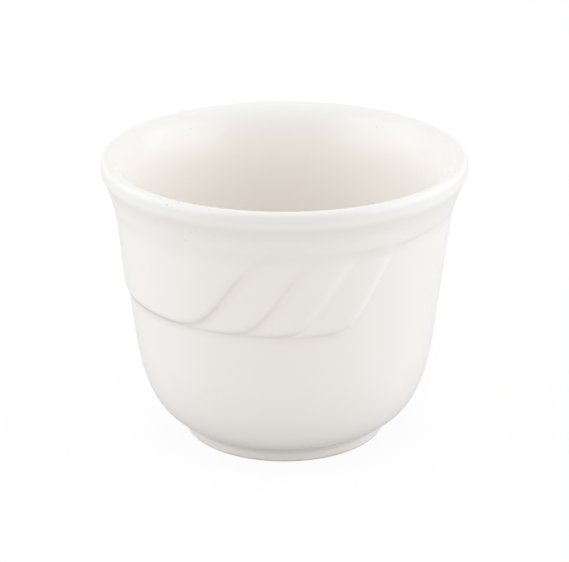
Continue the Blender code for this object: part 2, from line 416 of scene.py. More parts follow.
def spots(spacing, radius, share):
    """Socket that is 1 within round spots, one in each of a share of the cells of a 3-D pattern."""
    cells = add("TexVoronoi", {"Vector": where, "Scale": 1 / spacing})
    draw = add("SeparateColor", cells.outputs["Color"])
    size = add("MapRange", draw, 1 - share, 1.0, 0.0, radius / spacing)
    within = add("SUBTRACT", size, cells.outputs["Distance"])
    return add("MapRange", within, 0.0, SPOT_EDGE * radius / spacing)


def around(angle, radius, height, reach, amount):
    """Socket that falls from an amount to 0 round a place, with its angle from the drape's middle."""
    middle = (-radius * cos(radians(angle)), -radius * sin(radians(angle)), height)
    away = add("VectorMath DISTANCE", where, middle)
    return add("MapRange", away, 0.0, reach, amount, 0.0)


specks = spots(SPECK_SPACING, SPECK_RADIUS, SPECK_SHARE)
rim_specks = spots(RIM_SPECK_SPACING, RIM_SPECK_RADIUS, RIM_SPECK_SHARE)
near_rim = around(RIM_SPECK_ANGLE, RIM_RADIUS, CUP_HEIGHT, RIM_SPECK_REACH, RIM_SPECK_AMOUNT)
more_specks = add("MULTIPLY", rim_specks, near_rim)
specks = add("MAXIMUM", specks, more_specks)
pinholes = spots(PINHOLE_SPACING, PINHOLE_RADIUS, PINHOLE_SHARE)
grains = add("TexNoise", {"Vector": where, "Scale": 1 / GRIT_SIZE, "Detail": 1.0})
grit = add("MapRange", grains, GRIT_START, GRIT_FULL)
grit_area = 0.0
for angle, height, reach, amount in GRIT_PLACES:
    here = around(angle, crossing(outer_side(CURVE_STEPS), 2, height).x, height, reach, amount)
    grit_area = add("MAXIMUM", grit_area, here)
grit_here = add("MULTIPLY", grit, grit_area)
print(f"specks every {1000 * SPECK_SPACING} mm, pinholes every {1000 * PINHOLE_SPACING} mm at most")

# %% Glaze group: colour, roughness and bump
CLOUD_SIZE = 0.0140
CLOUD_LOW = 0.2
CLOUD_HIGH = 0.8
PEEL_SIZE = 0.0012
PEEL_DEPTH = 0.0000012
WAVE_SIZE = 0.0080
WAVE_DEPTH = 0.000006
PINHOLE_DEPTH = 0.000040
POOL_AND_SHADE_TINT = 0.55
PINHOLE_TINT = 0.25
SPECK_TINT = 0.24
GRIT_TINT = 0.10
SHINIEST = 0.22
DULLEST = 0.265
ONE_METRE = 1.0

clouds, peel, waves = (
    add("TexNoise", {"Vector": where, "Scale": 1 / size, "Detail": detail})
    for size, detail in ((CLOUD_SIZE, 2.0), (PEEL_SIZE, 0.0), (WAVE_SIZE, 0.0))
)
# The first input darkens the ivory, partly as pooled glaze and partly as painted shade.
pool_and_shade_share = add("MULTIPLY", given["Pooling"], POOL_AND_SHADE_TINT)
pooled_and_shaded = add("Mix RGBA", pool_and_shade_share, IVORY, POOLED_GLAZE_AND_SHADE)
# The second input lightens the colour with a painted highlight.
highlighted = add("Mix RGBA", given["Thinning"], pooled_and_shaded, RIDGE_HIGHLIGHT_COLOUR)
hole_share, speck_share, grit_share = (
    add("MULTIPLY", mask, tint)
    for mask, tint in ((pinholes, PINHOLE_TINT), (specks, SPECK_TINT), (grit_here, GRIT_TINT))
)
stained = add("MAXIMUM", speck_share, grit_share)
marks = add("MAXIMUM", hole_share, stained)
colour = add("Mix RGBA", marks, highlighted, IRON)
roughness = add("MapRange", clouds, CLOUD_LOW, CLOUD_HIGH, SHINIEST, DULLEST)
low_waves = add("MULTIPLY", waves, WAVE_DEPTH)
dimpled = add("MULTIPLY_ADD", peel, PEEL_DEPTH, low_waves)
height = add("MULTIPLY_ADD", pinholes, -PINHOLE_DEPTH, dimpled)
bump = add("Bump", {"Strength": 1.0, "Distance": ONE_METRE, "Height": height})
add("NodeGroupOutput", {"Color": colour, "Roughness": roughness, "Normal": bump})
print(f"{coat.name}: {len(coat.nodes)} nodes")

# %% [markdown]
# The glazed pieces and the foot each get a material around that group. On the glazed pieces the colour
# darkens in the creases of the drapery and round the foot, partly as pooled glaze and partly as painted
# shade, and a painted shadow lies under its hem, strongest along the drape. The floor of the bowl is a little
# darker towards its middle. A highlight is painted on the ridges of the last two folds, and painted shade
# gives the lip and the inside of the rim a cooler, darker tint. The meshes of the drapery mark its creases
# and ridges. On the foot ring the coat is wiped off the standing edge, so the kiln shelf can't stick to it,
# and dry pinkish clay shows there.

# %% Satin ivory glaze: feldspar glaze on vitrified clay, waxy and bright
# A gloss glaze has an IOR of about 1.5; 1.4 matches the softer reflections of this satin coat.
GLAZE_IOR = 1.4
FLOOR_DARKENING = 0.2
FLOOR_DARKENING_EDGE = 0.0240
FOOT_POOL_AND_SHADE = 0.6
FOOT_SHADE_TOP = FOOT_HEIGHT + 0.0020
HEM_SHADOW = 0.5
DRAPE_SHADOW = 1.6
DRAPE_FRONT = -0.0180
DRAPE_SIDE = -0.0310
HEM_LINE = DRAPE_EDGE + 0.00004
HEM_SHADOW_REACH = 0.0022
HEM_SHADOW_FALL = 1.5
HEM_END = 0.0122
HEM_FADE = 0.0020
OUTSIDE = BELLY_RADIUS
RIM_LEAN = 0.4
RIM_INSIDE = RIM_RADIUS - 0.0012
RIM_OUTSIDE = RIM_RADIUS - 0.0003
RIM_FADE = CUP_HEIGHT - 0.0080
LIP_FADE = CUP_HEIGHT - 0.0030
LIP_FULL = CUP_HEIGHT - 0.0012


def new_material(name):
    """Start a material, and return it and the function that adds its nodes."""
    material = bpy.data.materials.new(name)
    material.use_nodes = True
    material.node_tree.nodes.clear()
    return material, adder(material.node_tree)


glaze, add = new_material("satin_ivory_glaze")
where = add("TexCoord").outputs["Object"]
x, _, z = add("SeparateXYZ", where).outputs
flat = add("VectorMath MULTIPLY", where, (1.0, 1.0, 0.0))
from_axis = add("VectorMath LENGTH", flat)
# The bowl's floor is a little darker towards its middle.
floor_share = add("MapRange SMOOTHSTEP", from_axis, 0.0, FLOOR_DARKENING_EDGE, FLOOR_DARKENING, 0.0)
inside_bowl = add("MapRange", z, FOOT_HEIGHT, FLOOR_TOP)
on_floor = add("MULTIPLY", floor_share, inside_bowl)
# Painted shade round the foot, with glaze pooled there.
shade_by_foot = add("MapRange", z, FOOT_HEIGHT, FOOT_SHADE_TOP, FOOT_POOL_AND_SHADE, 0.0)
# Painted shadow under the hem, strongest along the drape and fading past the last pleat.
under_hem = add("MapRange", z, HEM_LINE - HEM_SHADOW_REACH, HEM_LINE)
shadow_under_hem = add("POWER", under_hem, HEM_SHADOW_FALL)
below_edge = add("LESS_THAN", z, HEM_LINE)
outside = add("GREATER_THAN", from_axis, OUTSIDE)
along_hem = add("MapRange", x, HEM_END - HEM_FADE, HEM_END, HEM_SHADOW, 0.0)
for mask in (below_edge, outside, along_hem):
    shadow_under_hem = add("MULTIPLY", shadow_under_hem, mask)
# Pooled glaze and painted shade in the creases, as marked on the drapery's meshes.
in_creases = add("Attribute", attribute_name="pooling").outputs["Fac"]
creases = add("MAXIMUM", in_creases, shadow_under_hem)
drape_shadow_gain = add("MapRange", x, DRAPE_SIDE, DRAPE_FRONT, DRAPE_SHADOW / HEM_SHADOW, 1.0)
pools_and_shade = add("MULTIPLY", creases, drape_shadow_gain)
for pool in (on_floor, shade_by_foot):
    pools_and_shade = add("MAXIMUM", pools_and_shade, pool)
# Painted highlights on ridges, as marked on the drapery's meshes.
ridge_highlights = add("Attribute", attribute_name="thinning").outputs["Fac"]
group = add("Group", {"Pooling": pools_and_shade, "Thinning": ridge_highlights}, node_tree=coat).outputs
print(f"{glaze.name}: pools {1000 * HEM_SHADOW_REACH} mm wide under the hem")

# %% Satin ivory glaze: painted shade round the rim, and the finished surface
# Painted shade: a cooler, slightly darker tint on the lip and on the inside of the rim.
below_rim = add("SUBTRACT", CUP_HEIGHT, z)
leaning = add("MULTIPLY_ADD", below_rim, RIM_LEAN, from_axis)
inner_side_only = add("MapRange", leaning, RIM_INSIDE, RIM_OUTSIDE, 1.0, 0.0)
near_rim = add("MapRange SMOOTHSTEP", z, RIM_FADE, CUP_HEIGHT)
rim_shade_inside = add("MULTIPLY", inner_side_only, near_rim)
lip_shade = add("MapRange SMOOTHSTEP", z, LIP_FADE, LIP_FULL)
rim_shade = add("MAXIMUM", rim_shade_inside, lip_shade)
colour = add("Mix RGBA", rim_shade, group["Color"], RIM_SHADE_TINT, blend_type="MULTIPLY")
finish = {"Base Color": colour, "Roughness": group["Roughness"], "Normal": group["Normal"], "IOR": GLAZE_IOR}
add("OutputMaterial", {"Surface": add("BsdfPrincipled", finish)})
print(f"{glaze.name}: {len(glaze.node_tree.nodes)} nodes")

# %% Wiped foot glaze: the same coat, with dry fine clay along the standing edge
WIPED_HEIGHT = 0.00035
WIPED_BLUR = 0.00030
WIPED_SHAKE = 0.0006
SHAKE_SIZE = 0.0025
GRAIN_SIZE = 0.0006
CLAY_ROUGHNESS = 0.8

foot_glaze, add = new_material("wiped_foot_glaze")
where = add("TexCoord").outputs["Object"]
z = add("SeparateXYZ", where).outputs["Z"]
# Painted shade: the foot ring darkens towards the belly, with glaze pooled there.
pools_and_shade = add("MapRange", z, WIPED_HEIGHT, FOOT_HEIGHT, 0.0, FOOT_POOL_AND_SHADE)
group = add("Group", {"Pooling": pools_and_shade}, node_tree=coat).outputs
shake = add("TexNoise", {"Vector": where, "Scale": 1 / SHAKE_SIZE})
edge_up = add("MapRange", shake, 0.0, 1.0, -WIPED_SHAKE / 2, WIPED_SHAKE / 2)
ragged = add("ADD", z, edge_up)
bare = add("MapRange", ragged, WIPED_HEIGHT, WIPED_HEIGHT + WIPED_BLUR, 1.0, 0.0)
grain = add("TexNoise", {"Vector": where, "Scale": 1 / GRAIN_SIZE})
clay = add("Mix RGBA", grain, BARE_CLAY, CLAY_GRAIN)
colour = add("Mix RGBA", bare, group["Color"], clay)
roughness = add("Mix", bare, group["Roughness"], CLAY_ROUGHNESS)
finish = {"Base Color": colour, "Roughness": roughness, "Normal": group["Normal"], "IOR": GLAZE_IOR}
add("OutputMaterial", {"Surface": add("BsdfPrincipled", finish)})
print(f"{foot_glaze.name}: {len(foot_glaze.node_tree.nodes)} nodes")

# %% [markdown]
# ## The bowl
# The bowl is floor, belly, wall, cove and lip in one turn of clay. Its outline runs from the middle of the
# floor up the inside, over the lip, down the outside and along the underside back to the axis. Turned on
# the node wheel, it is a closed shell with a true wall, which a single sheet with Solidify would give only
# at one thickness all over.


# %% Turn the bowl
def turn_piece(name, points, material):
    """Turn an outline into a closed piece."""
    outline_guide = guide(name + "_outline", points)
    piece = make(name, wheel, {"Outline": outline_guide, "Rows": len(points), "Material": material})
    bpy.data.objects.remove(outline_guide)
    return piece


hand_over(turn_piece("glazed_bowl", bowl_outline, glaze), "bowl")

# %% [markdown]
# ## The foot ring
# The ring under the cup is trimmed when the clay is leather hard. Its sides are nearly upright, its
# standing edges are softened with a sponge, and slip and glaze fill the corner where it meets the bowl. So
# the outline flares into the bowl in a small fillet on both sides, and its top is buried in the bowl's
# clay.

# %% Turn the foot ring
FOOT_WIDTH = 0.0034
FOOT_EDGE = 0.00045
FOOT_WAIST = 0.0016
FILLET_REACH = 0.0013
FILLET_PULL = 0.0006
FOOT_BED = 0.0006
BURIED = 0.0001


def foot_outline():
    """Closed outline of the ring, from the fillet under the belly down, round and up the inside."""
    inner = FOOT_RADIUS - FOOT_WIDTH
    top = FOOT_HEIGHT + FOOT_BED
    spring = crossing(outer_side(CURVE_STEPS), 0, SEAT_RADIUS + FILLET_REACH)
    start = spring + BURIED * upward(0)
    down = place(SEAT_RADIUS, FOOT_WAIST)
    points = [start]
    along_belly, straight_down = FILLET_PULL * upward(BELLY_SPRING - 180), FILLET_PULL * upward(180)
    points += bend(start, along_belly, straight_down, down, CURVE_STEPS)
    points += arc(place(FOOT_RADIUS - FOOT_EDGE, FOOT_EDGE), FOOT_EDGE, 0, -90, CURVE_STEPS // 2)
    points += arc(place(inner + FOOT_EDGE, FOOT_EDGE), FOOT_EDGE, -90, -180, CURVE_STEPS // 2)
    inner_waist = place(inner, FOOT_WAIST)
    inner_spring = place(inner - FILLET_REACH, FOOT_HEIGHT + BURIED)
    straight_up, to_the_axis = FILLET_PULL * upward(0), FILLET_PULL * upward(-90)
    points += [inner_waist] + bend(inner_waist, straight_up, to_the_axis, inner_spring, CURVE_STEPS)
    return points + [place(inner, top), place(SEAT_RADIUS, top), start]


hand_over(turn_piece("glazed_foot_ring", foot_outline(), foot_glaze), "foot_ring")

# %% [markdown]
# ## The drapery, as a rule
# The drapery is moulded cloth: a collar all round, a wide drape that hangs from it on one side and, from
# either edge of the drape, three pleats that each tuck in under the one before. Sculpting it would hide how
# it works. Here it is a rule on the wall unrolled flat: "Across" runs round the wall from the drape's
# middle, and "Height" runs up. Four leaning fold lines cut the wall into strips, and each strip steps up
# over the next.

# %% Sizes of the drapery
FOLD_ANGLES = (70.6, 88.8, 105.4, 121.3)
FIRST_SLOPE = 54.5
SLOPE_GAIN = 2.5
FOLD_BOW = 0.00065
BOW_REACH = 0.0075
FOLD_MIDDLE = (COLLAR_EDGE + DRAPE_EDGE) / 2
RELIEF_END = 0.0552
DRAPE_CORNER = 0.0085
PLEAT_CORNER = 0.0072
HIGH_CORNER = 0.0065
STEP_FOOT = 0.0008
STEP_LOW = ((0.12, 0.02), (0.22, 0.10), (0.333, 0.30))
STEP_HIGH = ((0.45, 0.52), (0.60, 0.75), (0.75, 0.90), (0.88, 0.97))

wall_points = outer_side(4 * CURVE_STEPS)
FOLD_RADIUS = crossing(wall_points, 2, FOLD_MIDDLE).x
FOLDS = [radians(angle) * FOLD_RADIUS for angle in FOLD_ANGLES]
SLOPES = [radians(FIRST_SLOPE + SLOPE_GAIN * number) for number in range(len(FOLDS))]
print("folds, mm round the wall from the drape's middle:", [round(1000 * fold, 1) for fold in FOLDS])

# %% Sizes of the relief, by the names of its tree's inputs
# The pool sizes place the darkened creases and the painted shadow under the hem; the ridge sizes place the
# painted highlights.
RELIEF_SIZES = {
    "Drape edge": DRAPE_EDGE, "Collar edge": COLLAR_EDGE, "Relief end": RELIEF_END,
    "Drape corner": DRAPE_CORNER, "Low rise": 0.00055, "High rise": 0.00038,
    "Open rise": 0.05, "Open reach": 0.0115,
    "Step foot": STEP_FOOT, "Step brow": 0.0016, "Tuck bend": 0.7,
    "Hollow start": 0.0070, "Hollow end": 0.0130, "Hollow level": 0.7,
    "Hem pool": HEM_SHADOW, "Pool reach": 0.0024, "Pool fall": 1.4, "Pool brow": 0.0007,
    "Pool ledge": 0.65, "Pool turn": 0.0030, "Pool fade": 0.0060, "Pool top": 0.35,
    "Ridge foot": 0.0010, "Ridge top": 0.0002, "Ridge back": 0.0024, "Ridge end": 0.0020,
}
# A value for the drape, which is strip 0, and for each pleat behind it, or for the pleats alone.
STRIP_SIZES = {
    "Fold": FOLDS,
    "Slope": SLOPES,
    "Sharpness": (1.0, 0.9, 0.9, 0.8),
    "Low tuck": (0.30, 0.30, 0.05),
    "High tuck": (0.75, 0.75, 0.15),
    # Next two rows: how dark each fold's crease is made, partly as pooled glaze and partly as painted shade,
    # and how strong a highlight is painted on its ridge.
    "Pool": (0.85, 0.5, 0.05, 0.0),
    "Thin": (0.0, 0.0, 0.35, 0.22),
}
for label, values in STRIP_SIZES.items():
    first_strip = len(FOLDS) - len(values)
    RELIEF_SIZES |= {f"{label} {number}": value for number, value in enumerate(values, first_strip)}
print(f"relief: {len(RELIEF_SIZES)} sizes")

# %% [markdown]
# Four small trees hold the rule. The first gives the heights of the hem, which is level, and of the
# collar's edge, which climbs past the last pleat, and tells how sharp that edge is. The second gives a
# fold's line, which leans and bows. The third tells how far inside a strip's edge a point lies, with
# corners rounded by smooth minimum and maximum. The fourth stacks the steps, from the hindmost pleat to the
# drape, into one relief. It also marks where the creases darken, partly as pooled glaze and partly as
# painted shade, and where a highlight is painted on the ridges.

# %% Tree: heights of the hem and of the collar's edge
lower, add, given = new_tree(
    "Lower edges",
    {
        "Across": 0.0, "Hem line": HEM_LINE, "Collar edge": COLLAR_EDGE, "Open start": FOLDS[-1],
        "Open climb": 0.03, "Soft until": FOLDS[-2], "Softness": 0.5, "Open softness": 0.75,
    },
    {"Hem": "Float", "Collar": "Float", "Collar sharpness": "Float"},
)
past_folds = add("SUBTRACT", given["Across"], given["Open start"])
open_part = add("MAXIMUM", past_folds, 0.0)
high_line = add("MULTIPLY_ADD", open_part, given["Open climb"], given["Collar edge"])
soft_range = [given[label] for label in ("Soft until", "Open start", "Softness", "Open softness")]
sharper = add("MapRange", given["Across"], *soft_range)
heights = {"Hem": given["Hem line"], "Collar": high_line, "Collar sharpness": sharper}
add("NodeGroupOutput", heights)
print(f"{lower.name}: hem at {1000 * HEM_LINE:.1f} mm, collar at {1000 * COLLAR_EDGE:.1f} mm")

# %% Tree: where a fold's line runs
fold_line, add, given = new_tree(
    "Fold line",
    {
        "Height": 0.0, "Fold": 0.0, "Slope": SLOPES[0], "Fold middle": FOLD_MIDDLE, "Bow": FOLD_BOW,
        "Bow reach": BOW_REACH,
    },
    {"Across": "Float"},
)
climb = add("SUBTRACT", given["Height"], given["Fold middle"])
steep = add("TANGENT", given["Slope"])
lean = add("DIVIDE", climb, steep)
straight = add("ADD", given["Fold"], lean)
share = add("DIVIDE", climb, given["Bow reach"])
squared = add("MULTIPLY", share, share)
bowed = add("MULTIPLY", squared, given["Bow"])
line_across = add("SUBTRACT", straight, bowed)
add("NodeGroupOutput", {"Across": line_across})
print(f"{fold_line.name}: {len(fold_line.nodes)} nodes")

# %% Tree: how far a point lies inside a strip's edge
edge, add, given = new_tree(
    "Strip edge",
    {
        "Across": 0.0, "Height": 0.0, "Fold": 0.0, "Slope": SLOPES[0], "Low corner": PLEAT_CORNER,
        "High corner": HIGH_CORNER, "Hem sharpness": 1.3,
    },
    {"Inside": "Float", "To the fold": "Float", "To the hem": "Float"},
)
here = {label: given[label] for label in ("Height", "Fold", "Slope")}
own_line = add("Group", here, node_tree=fold_line)
ahead = add("SUBTRACT", own_line, given["Across"])
square = add("SINE", given["Slope"])
from_fold = add("MULTIPLY", ahead, square)
low = add("Group", {"Across": given["Across"]}, node_tree=lower).outputs
over_hem = add("SUBTRACT", given["Height"], low["Hem"])
from_hem = add("MULTIPLY", over_hem, given["Hem sharpness"])
over_collar = add("SUBTRACT", given["Height"], low["Collar"])
from_collar = add("MULTIPLY", over_collar, low["Collar sharpness"])
hanging = add("SMOOTH_MIN", from_fold, from_hem, given["Low corner"])
inside = add("SMOOTH_MAX", hanging, from_collar, given["High corner"])
add("NodeGroupOutput", {"Inside": inside, "To the fold": from_fold, "To the hem": over_hem})
print(f"{edge.name}: {len(edge.nodes)} nodes")

# %% Tree: height of the relief
relief, add, given = new_tree(
    "Drapery relief",
    {"Across": 0.0, "Height": 0.0, **RELIEF_SIZES},
    {"Rise": "Float", "Pooling": "Float", "Thinning": "Float"},
)
height, drape_edge, collar_edge = (given[label] for label in ("Height", "Drape edge", "Collar edge"))
strips = []
for number in range(len(FOLDS)):
    here = {label: given[f"{label} {number}"] for label in ("Fold", "Slope")}
    if number == 0:
        here["Low corner"] = given["Drape corner"]
    here |= {"Across": given["Across"], "Height": height}
    strips.append(add("Group", here, node_tree=edge).outputs)


def own_level(number):
    """Socket for a strip's own height: the drape is hollowed, a pleat rises from its tuck to its fold."""
    if number == 0:
        start, end, middle = (given["Hollow " + label] for label in ("start", "end", "level"))
        return add("MapRange SMOOTHSTEP", strips[0]["Inside"], start, end, 1.0, middle)
    before = add("MULTIPLY", strips[number - 1]["To the fold"], -1.0)
    span = add("ADD", strips[number]["To the fold"], before)
    share = add("DIVIDE", before, span, use_clamp=True)
    bent = add("POWER", share, given["Tuck bend"])
    low, high = given[f"Low tuck {number}"], given[f"High tuck {number}"]
    tuck = add("MapRange", height, drape_edge, collar_edge, low, high)
    return add("MapRange", bent, 0.0, 1.0, tuck)


below, no_pool, turn_back, ridge_start = (
    add("SUBTRACT", 0.0, given[label])
    for label in ("Step foot", "Pool reach", "Pool turn", "Ridge foot")
)
level = 0.0
drops = {}
for number in reversed(range(len(FOLDS))):
    steeper = add("MULTIPLY", strips[number]["Inside"], given[f"Sharpness {number}"])
    across_step = add("MapRange", steeper, below, given["Step brow"])
    step = add("FloatCurve", {"Value": across_step}, profile=STEP_LOW + STEP_HIGH)
    own = own_level(number)
    drops[number] = add("SUBTRACT", own, level)
    level = add("Mix", step, level, own)
print(f"{relief.name}: {len(FOLDS)} steps stacked")

# %% Tree: where pooled glaze and painted shade darken creases, and where highlights are painted
ridge_fade, pool_fade = (
    add("SUBTRACT", collar_edge, given[label]) for label in ("Ridge end", "Pool fade")
)
below_collar = add("MapRange SMOOTHSTEP", height, ridge_fade, collar_edge, 1.0, 0.0)
lower_down = add("MapRange", height, pool_fade, collar_edge, 1.0, given["Pool top"])
pooling = thinning = 0.0
# Painted shade with pooled glaze: a band along each strip's edge, by each fold's share and the hem's, weaker
# up towards the collar.
for number in reversed(range(len(FOLDS))):
    inside, to_fold, to_hem = (strips[number][label] for label in ("Inside", "To the fold", "To the hem"))
    corner = (add("SUBTRACT", to_fold, to_hem), turn_back, given["Pool turn"])
    share = add("MapRange SMOOTHSTEP", *corner, given[f"Pool {number}"], given["Hem pool"])
    ledge = add("MapRange", drops[number], 0.0, given["Pool ledge"])
    on_brow = add("MapRange SMOOTHSTEP", inside, 0.0, given["Pool brow"], 1.0, 0.0)
    before = add("MapRange", inside, no_pool, 0.0)
    pool = add("POWER", before, given["Pool fall"])
    for weight in (on_brow, ledge, share, lower_down):
        pool = add("MULTIPLY", pool, weight)
    pooling = add("MAXIMUM", pooling, pool)
    # Painted highlight along the ridge of each of the last folds.
    ridge_highlight = add("MapRange SMOOTHSTEP", *corner, given[f"Thin {number}"], 0.0)
    up_ridge = add("MapRange SMOOTHSTEP", inside, ridge_start, given["Ridge top"])
    off_ridge = add("MapRange SMOOTHSTEP", inside, given["Ridge top"], given["Ridge back"], 1.0, 0.0)
    for weight in (up_ridge, off_ridge, below_collar):
        ridge_highlight = add("MULTIPLY", ridge_highlight, weight)
    thinning = add("MAXIMUM", thinning, ridge_highlight)
print(f"{relief.name}: pools and ridges of {len(FOLDS)} strips")

# %% Tree: how thick the relief is at each height
thickness = add("MapRange", height, drape_edge, collar_edge, given["Low rise"], given["High rise"])
fade = add("MapRange SMOOTHSTEP", height, collar_edge, given["Relief end"], 1.0, 0.0)
past_folds = add("SUBTRACT", given["Across"], given[f"Fold {len(FOLDS) - 1}"])
thinner = add("MapRange SMOOTHSTEP", past_folds, 0.0, given["Open reach"], 1.0, given["Open rise"])
faded = add("MULTIPLY", thickness, fade)
full = add("MULTIPLY", faded, thinner)
rise = add("MULTIPLY", level, full)
add("NodeGroupOutput", {"Rise": rise, "Pooling": pooling, "Thinning": thinning})
print(f"{relief.name}: {len(relief.nodes)} nodes")

# %% [markdown]
# ## Clay laid on the wall
# Each piece of drapery is a thin skin of clay pressed on to the wall. A grid is laid on the unrolled wall,
# lifted by the relief and wrapped round the cup. A copy of it, sunk a little into the bowl's clay, is the
# back, and both meet along the grid's border, so the skin is a closed solid. Where a piece ends, or slips
# under its neighbour, its face dives into the clay beneath, and the eye sees one unbroken surface.

# %% Tree: a closed skin of clay on the wall
SKIN_BACK = 0.00045
SKIN_SINK = 0.000003
SINK_GAIN = 0.000010

skin, add, given = new_tree(
    "Skin on the wall",
    {
        "Grid": "Geometry", "Wall line": "Object", "Wall foot": wall_points[0].z,
        "Wall top": wall_points[-1].z, "Across": 0.0, "Height": 0.0, "Inside": 0.0,
        "Under a neighbour": 0.0, "Inner": True, "Side": 1.0, "Fold radius": FOLD_RADIUS,
        "Step foot": STEP_FOOT, "Overlap": 0.0004, "Back": SKIN_BACK, "Tuck depth": 0.00030,
        "Sink": SKIN_SINK, "Dive": 200.0,
    },
    {"Mesh": "Geometry"},
)
across = add("ABSOLUTE", given["Across"])
drapery = add("Group", {"Across": across, "Height": given["Height"]}, node_tree=relief).outputs
foot = add("ADD", given["Step foot"], given["Overlap"])
past_edge = add("MULTIPLY", add("ADD", given["Inside"], foot), -1.0)
dives = []
for depth in (past_edge, given["Under a neighbour"]):
    reach = add("MAXIMUM", depth, 0.0)
    dives.append(add("POWER", reach, 2.0))
both = add("ADD", *dives)
dive = add("MULTIPLY_ADD", both, given["Dive"], given["Sink"])
free = add("SUBTRACT", drapery["Rise"], dive)
deepest = add("SUBTRACT", 0.0, given["Tuck depth"])
proud = add("MAXIMUM", free, deepest)
print(f"{skin.name}: sinks {1000 * SKIN_BACK:.2f} mm into the wall")

# %% Tree: the same skin, wrapped round the cup and closed
wall_object = add("ObjectInfo", given["Wall line"])
wall_curve = add("MeshToCurve", wall_object.outputs["Geometry"])
upright = add("MapRange", given["Height"], given["Wall foot"], given["Wall top"])
wall_radius = add("InputNamedAttribute", {"Name": "wall_radius"}, data_type="FLOAT")
by_height = {"Curves": wall_curve, "Value": wall_radius, "Factor": upright}
ground = add("SampleCurve", by_height, data_type="FLOAT", mode="FACTOR", use_all_curves=True)
back = add("SUBTRACT", ground, given["Back"])
outer = add("ADD", ground, proud)
front = add("Mix", given["Inner"], back, outer)
swing = add("DIVIDE", given["Across"], given["Fold radius"])
along = add("COSINE", swing)
aside = add("SINE", swing)
sideways = add("MULTIPLY", aside, given["Side"])
marked = given["Grid"]
# The marks of pooled glaze with painted shade, and of painted highlights, are kept on the skin's points.
for label in ("Pooling", "Thinning"):
    mark = {"Geometry": marked, "Name": label.lower(), "Value": drapery[label]}
    marked = add("StoreNamedAttribute", mark, data_type="FLOAT", domain="POINT")
faces = []
for radius in (front, back):
    east = add("MULTIPLY", along, radius)
    west = add("MULTIPLY", east, -1.0)
    north = add("MULTIPLY", sideways, radius)
    wrapped = add("CombineXYZ", west, north, given["Height"])
    faces.append(add("SetPosition", {"Geometry": marked, "Position": wrapped}))
turned_over = add("FlipFaces", faces[1])
closed = add("JoinGeometry", [faces[0], turned_over])
add("NodeGroupOutput", {"Mesh": closed})
print(f"{skin.name}: {len(skin.nodes)} nodes")

# %% [markdown]
# ## A pleat
# A pleat lies between two fold lines, and its grid runs from just past its own fold to just under the one
# before. Columns crowd at its fold and rows at the hem, because that is where the ledge is. The same tree
# makes all six pleats: the folds are inputs, and the side input mirrors a pleat to the back of the cup.

# %% Tree: a pleat's grid
MARGIN = 0.0019
GRID_BORDER = 0.4999
PLEAT_COLUMNS = 120
PLEAT_ROWS = 140
COLUMN_PROFILE = ((0.15, 0.10), (0.5, 0.18))
HEM_PROFILE = ((0.1, 0.067), (0.4, 0.125))

pleat, add, given = new_tree(
    "Pleat",
    {
        "Wall line": "Object", "Fold before": 0.0, "Slope before": 0.0, "Corner before": PLEAT_CORNER,
        "Fold": 0.0, "Slope": 0.0, "Side": 1.0, "Sink": SKIN_SINK, "Columns": PLEAT_COLUMNS,
        "Rows": PLEAT_ROWS, "Low": DRAPE_EDGE - MARGIN, "High": COLLAR_EDGE + MARGIN, "Margin": MARGIN,
        "Step foot": STEP_FOOT, "Material": "Material",
    },
    {"Mesh": "Geometry"},
)
grid = add("MeshGrid", 1.0, 1.0, given["Columns"], given["Rows"])
x, y, _ = add("SeparateXYZ", add("InputPosition")).outputs
up = add("ADD", y, GRID_HALF, use_clamp=True)
risen = add("FloatCurve", {"Value": up}, profile=HEM_PROFILE)
height = add("MapRange", risen, 0.0, 1.0, given["Low"], given["High"])
lines = {}
for label in ("", " before"):
    here = {"Height": height, "Fold": given["Fold" + label], "Slope": given["Slope" + label]}
    lines[label] = add("Group", here, node_tree=fold_line)
last = add("ADD", lines[""], given["Margin"])
first = add("SUBTRACT", lines[" before"], given["Margin"])
to_fold = add("SUBTRACT", GRID_HALF, x, use_clamp=True)
from_end = add("FloatCurve", {"Value": to_fold}, profile=COLUMN_PROFILE)
across = add("MapRange", from_end, 0.0, 1.0, last, first)
print(f"{pleat.name}: a grid of {PLEAT_COLUMNS} by {PLEAT_ROWS} points")

# %% Tree: a pleat's skin
insides = {}
for label, corner in (("", PLEAT_CORNER), (" before", given["Corner before"])):
    here = {"Across": across, "Height": height, "Low corner": corner}
    here |= {name: given[name + label] for name in ("Fold", "Slope")}
    insides[label] = add("Group", here, node_tree=edge).outputs["Inside"]
under = add("ADD", insides[" before"], given["Step foot"])
sides = []
for direction in (x, y):
    off_middle = add("ABSOLUTE", direction)
    sides.append(add("LESS_THAN", off_middle, GRID_BORDER))
inner = add("MULTIPLY", *sides)
here = {"Grid": grid, "Across": across, "Height": height, "Inside": insides[""], "Inner": inner}
here |= {"Under a neighbour": under, **{label: given[label] for label in ("Wall line", "Side", "Sink")}}
finish_tree(pleat, add("Group", here, node_tree=skin), given["Material"])

# %% [markdown]
# ## The collar with its drape
# The collar goes all the way round, and the drape is one piece with it. Its grid is a closed band whose
# lowest rows follow the lower edge wherever it runs: along the collar, down the first fold, along the hem
# and up again. Most rows lie close to that edge, where the ledge is, and the rest spread up to the cove.

# %% Tree: the collar's grid
EDGE_ROWS = 0.70
TOP_PROFILE = ((0.6, 0.9), (0.85, 0.975))
ROW_PROFILE = ((0.25, 0.51), (0.75, 0.655))
COLLAR_COLUMNS = 601
COLLAR_ROWS = 80

